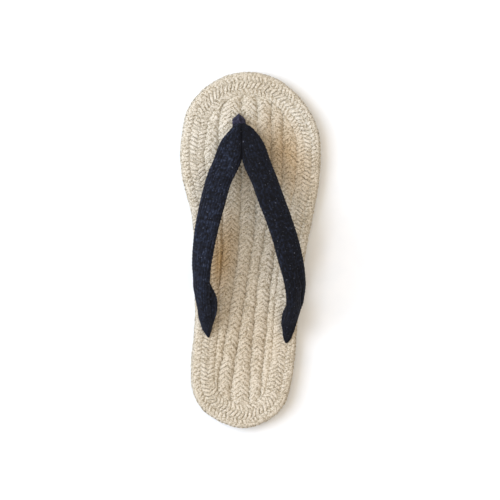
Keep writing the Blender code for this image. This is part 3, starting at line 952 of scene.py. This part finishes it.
def creases(marks, turn, share):
    """Pressed-in lines along a tube: each is a Gauss bell across its line, which goes straight
    from one angle to another while the share of the run goes from its start to its end. Along
    the line the depth follows the root of a half sine."""
    total = np.zeros(np.broadcast_shapes(turn.shape, share.shape))
    for first, last, angle_first, angle_last, spread, depth in marks:
        along = np.clip((share - first) / (last - first), 0.0, 1.0)
        line = angle_first + (angle_last - angle_first) * along
        total -= depth * np.exp(-((turn - line) / spread) ** 2) * np.sin(np.pi * along) ** 0.5
    return total


def knitted_tube(table, width, thickness, side, ribs, marks=()):
    """Rings of a stuffed knitted tube, its tone and the size of its UV map.

    Each stitch has its own random share of the relief and of the tone. The share fades to
    nothing at the stitch's border, because it is multiplied by the rib's and the stitch's height.
    """
    middle, wide, deep, half_wide, half_deep, run = tube_frame(
        table, width, thickness, side, STITCH_LENGTH / SAMPLES_PER_STITCH)
    sides = ribs * SAMPLES_PER_RIB
    turn = even_turns(sides, width, thickness)
    round_x, round_y = oval(turn, SECTION_POWER)
    share = np.arange(sides) / SAMPLES_PER_RIB
    along = run[:, None] / STITCH_LENGTH
    rib, stitch = knit_relief(share[None, :], along)
    stitch_number = (along + STITCH_LAG).astype(int)
    own = dice.uniform(0.0, 1.0, (stitch_number.max() + 1, ribs))
    own = own[stitch_number, share.astype(int)[None, :]]
    narrow = np.minimum(1.0, half_wide / (FULL_RELIEF_WIDTH * width))[:, None]
    stitch_depth = STITCH_DEPTH * (STITCH_LEAST + STITCH_SPREAD * own)
    relief = RIB_DEPTH * (rib - 1.0) + stitch_depth * rib * stitch
    relief = (relief + lumps(turn[None, :], run[:, None])) * narrow
    relief = relief + creases(marks, turn[None, :], (run / run[-1])[:, None])
    out_x = (half_wide[:, None] + relief) * round_x
    out_y = (half_deep[:, None] + relief) * round_y
    rings = (middle[:, None] + out_x[..., None] * wide[:, None] + out_y[..., None] * deep[:, None])
    # Painted light and shade: the backs of ribs and stitches are paler, the valleys between them
    # darker.
    tone = VALLEY_TONE + RIB_TONE * rib + STITCH_TONE * rib * stitch
    tone = tone + own ** 2 * (OWN_TONE + OWN_RIB_TONE * rib + OWN_STITCH_TONE * stitch)
    return rings, tone, (ribs, run[-1] / STITCH_LENGTH)


def press_at_seam(rings, side):
    """Press a tube against the seam plane between both arms, from the side it lies on: a
    distance d from it becomes (d + sqrt(d^2 + s^2)) / 2, which is d far away and never less than
    nothing. A small press is taken off it, so that the two arms touch."""
    seam = SEAM_ACROSS * HALF_BALL
    distance = (rings[..., 0] - seam) * side
    pressed = 0.5 * (distance + np.sqrt(distance ** 2 + SEAM_SOFTNESS ** 2)) - SEAM_PRESS
    rings = rings.copy()
    rings[..., 0] = seam + side * pressed
    return rings


# %% [markdown]
# ### Navy knitted cotton
#
# The strap is dyed almost black. Its tone is painted bluer on the backs of the stitches, as
# light, and darker between its ribs, as shade. Dye takes unevenly, so every stitch or so the
# blue changes a little, and a few paler fibres stand out as flecks. The fuzz of the knit gives a
# soft bluish sheen at a low angle. The gloss is set lower than on the pale cotton, because on
# dark cloth it shows as grey.

# %% Navy cotton
FLECK_SIZE = 0.0011
FLECK_FROM, FLECK_TO = 0.70, 0.80
DYED_SPECULAR = 0.15
DYED_FIBRE_SHARE = 0.4
DYED_GRAIN = 1.8
STREAK_RIBS = 0.9
STREAK_STITCHES = 0.8


def dyed_cotton(name, deep_hex, middle_hex, pale_hex, fleck_hex):
    """Dark dyed cotton, knitted or laid as cord. Its own light hardly leaves it. Its colour is
    painted paler on the backs of the stitches, as light, and darker between them, as shade, from
    the tone they carry; flecks and a faint sheen tell that it is cloth and not rubber."""
    material = new_material(name)
    where = add_node(material, "TexCoord")
    tone = add_node(material, "Attribute", attribute_name="tone").outputs["Fac"]
    fibre = noise(material, where.outputs["Object"], FIBRE_SIZE, 2.0)
    by_stitch = add_node(material, "Mapping", {
        "Vector": where.outputs["UV"], "Scale": (1.0 / STREAK_RIBS, 1.0 / STREAK_STITCHES, 1.0),
    }).outputs["Vector"]
    streak = noise(material, by_stitch, 1.0, 2.0)
    level = stirred(material, tone, fibre, streak, DYED_FIBRE_SHARE, DYED_GRAIN)
    navy = ramp(material, level, ((0.1, deep_hex), (0.55, middle_hex), (1.0, pale_hex)))
    fleck = add_node(material, "MapRange", {
        "Value": noise(material, where.outputs["Object"], FLECK_SIZE, 1.0),
        "From Min": FLECK_FROM, "From Max": FLECK_TO,
    }).outputs["Result"]
    colour = blend_colour(material, fleck, navy, linear(fleck_hex))
    bump = add_node(material, "Bump", {"Height": fibre, "Strength": 0.4, "Distance": 0.0003})
    give_surface(material, {
        "Base Color": colour, "Roughness": 0.85, "Specular IOR Level": DYED_SPECULAR,
        "IOR": COTTON_IOR, "Sheen Weight": 0.10, "Sheen Roughness": 0.45,
        "Sheen Tint": linear("8F9BC8"), "Normal": bump.outputs["Normal"],
    })
    return material


navy_cotton = dyed_cotton("navy_cotton_knitted_tube", "0B0D13", "1A202F", "313B50", "646B7C")
indigo_cotton = dyed_cotton("indigo_cotton_cord", "161723", "323349", "4D4F66", "65687C")

# %% The strap's pieces
STRAP_RIBS = 22
FOLD_RIBS = 12
MEDIAL, LATERAL = 1.0, -1.0
ARM_CREASES = {
    # from and to share of the run, angle there, spread of the angle, depth
    MEDIAL: ((0.05, 0.32, 1.75, 1.95, 0.16, 0.0007), (0.45, 0.75, 1.15, 1.05, 0.14, 0.0005)),
    LATERAL: ((0.05, 0.30, 1.35, 1.15, 0.16, 0.0007), (0.62, 0.88, 1.50, 1.15, 0.12, 0.0010)),
}
# painted light and shade: the inner arm is painted lighter and the outer arm darker, as light falls
# from the inner side
ARM_LIGHT_AND_SHADE = {MEDIAL: 1.15, LATERAL: 0.62}


def arm(name, table, side):
    """One arm of the V, pressed against the other where they meet. Shade is painted into its tone
    towards the seam as a Gauss bell, and the whole arm is painted lighter or darker by its side,
    as light and shade."""
    rings, tone, uv_size = knitted_tube(table, STRAP_WIDTH, STRAP_THICKNESS, side,
                                        STRAP_RIBS, ARM_CREASES[side])
    rings = press_at_seam(rings, -side)
    # Painted shade along the seam, where the two arms meet.
    from_seam = (rings[..., 0] - SEAM_ACROSS * HALF_BALL) / SEAM_SHADE_REACH
    tone = ARM_LIGHT_AND_SHADE[side] * tone * (1.0 - SEAM_PAINTED_SHADE * np.exp(-from_seam ** 2))
    return piece(name, tube_shell(rings, False, tone, uv_size), navy_cotton)


def fold(name, table, side):
    """The fold beside an arm's tail."""
    rings, tone, uv_size = knitted_tube(table, FOLD_WIDTH, FOLD_THICKNESS, side, FOLD_RIBS)
    return piece(name, tube_shell(rings, False, ARM_LIGHT_AND_SHADE[side] * tone, uv_size), navy_cotton)


strap_pieces = [
    arm("strap_medial_arm", MEDIAL_ARM, MEDIAL),
    arm("strap_lateral_arm", LATERAL_ARM, LATERAL),
    fold("strap_medial_fold", MEDIAL_FOLD, MEDIAL),
    fold("strap_lateral_fold", LATERAL_FOLD, LATERAL),
]

# %% [markdown]
# ### The toe post
#
# The cord in front of the V is a loop whose two legs lie close together, so it is one thin tube
# of the same knit, pinched to an edge on the side of the toes.

# %% Toe post
POST_RIBS = 7
PINCH = 0.85


def pinched(rings):
    """A tube whose toe side is pinched to an edge: the nearer a point of a ring is to the ring's
    foremost point, the nearer it moves to the ring's middle line."""
    middle = rings.mean(axis=1, keepdims=True)
    ahead = rings[..., 1] - middle[..., 1]
    share = np.clip(ahead / ahead.max(axis=1, keepdims=True), 0.0, 1.0)
    rings = rings.copy()
    rings[..., 0] -= PINCH * share * (rings[..., 0] - middle[..., 0])
    return rings


post_rings, post_tone, post_uv = knitted_tube(TOE_POST, POST_WIDTH, POST_THICKNESS, MEDIAL,
                                              POST_RIBS)
toe_post = piece("toe_post_cord", tube_shell(pinched(post_rings), False, post_tone, post_uv),
                 indigo_cotton)

# %% [markdown]
# ## Floor, light and camera
#
# The shoe lies on a pale floor under two large soft lights: one high on the left, like a window,
# and a weaker one overhead, like a lamp in the room. A weak warm light comes from all round. The
# camera looks down from 1.3 m, from a little to the left of the shoe, and is turned to it, so
# that one pixel is 0.708 mm at the floor.

# %% Stage
PIXEL = 0.000708
PICTURE = 500
CAMERA = (-0.051, 0.0039, 1.300)
SENSOR = 36.0
FLOOR_SIZE = 3.0
FLOOR_GRAIN = 1.0 / 60.0
KEY_PLACE, KEY_SIZE, KEY_POWER = (-1.20, 0.20, 1.60), 1.3, 36.0
FILL_PLACE, FILL_SIZE, FILL_POWER = (0.1, 0.2, 1.8), 1.4, 14.0
SKY_STRENGTH = 0.47


def aim(thing):
    """Turn a light or camera so that it looks at the shoe's middle, with +Y up in its picture."""
    place_now = np.array(thing.location)
    forward = unit(-place_now)
    right = unit(np.cross(forward, (0.0, 1.0, 0.0)))
    up = np.cross(right, forward)
    turn = np.eye(4)
    turn[:3] = np.column_stack((right, up, -forward, place_now))
    thing.matrix_world = Matrix(turn)


def area_light(name, where, size, power, hex_value):
    """Soft square light that faces the shoe."""
    data = bpy.data.lights.new(name, "AREA")
    data.size = size
    data.energy = power
    data.color = linear(hex_value)[:3]
    light = add_object(name, data)
    light.location = where
    aim(light)


def pale_floor():
    """Floor under the sole, painted white with a roller. Its faint grain is hardly seen, but it
    keeps the shadow of the shoe from looking like a printed one."""
    half = 0.5 * FLOOR_SIZE
    mesh = bpy.data.meshes.new("floor")
    mesh.from_pydata([(-half, -half, 0.0), (half, -half, 0.0), (half, half, 0.0),
                      (-half, half, 0.0)], [], [(0, 1, 2, 3)])
    material = new_material("white_matt_paint_rolled")
    where = add_node(material, "TexCoord").outputs["Object"]
    grain = noise(material, where, FLOOR_GRAIN, 2.0)
    colour = ramp(material, grain, ((0.3, "EDF5FD"), (0.7, "F1F8FF")))
    give_surface(material, {"Base Color": colour, "Roughness": 0.9})
    mesh.materials.append(material)
    add_object("floor", mesh)


pale_floor()
area_light("window", KEY_PLACE, KEY_SIZE, KEY_POWER, "EAF2FF")
area_light("room", FILL_PLACE, FILL_SIZE, FILL_POWER, "FFF3E6")

world = bpy.data.worlds.new("studio")
world.use_nodes = True
background = world.node_tree.nodes["Background"].inputs
background["Color"].default_value = linear("FFE6C8")
background["Strength"].default_value = SKY_STRENGTH
scene = bpy.context.scene
scene.world = world
scene.view_settings.view_transform = "Standard"

camera_data = bpy.data.cameras.new("camera")
camera_data.sensor_width = SENSOR
camera_data.lens = SENSOR * CAMERA[2] / (PICTURE * PIXEL)
camera = add_object("camera", camera_data)
camera.location = CAMERA
aim(camera)
scene.camera = camera

# %% [markdown]
# ## Handing over
#
# Last, each piece is hung on the root, and the solid that it stands for is hidden. Beside each,
# the table names a finish, which is not used here.

# %% Pieces on the root
SLOTS = (
    (rows, "sole_core", "sole_braid"),
    (inner_round, "sole_inner_round", "sole_braid"),
    (outer_round, "sole_outer_round", "sole_braid"),
    (toe_post, "toe_post", "post_cord"),
    *((made, "strap", "strap_braid") for made in strap_pieces),
)
for made, node_name, slot_name in SLOTS:
    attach(made, "root")
    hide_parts(node_name)
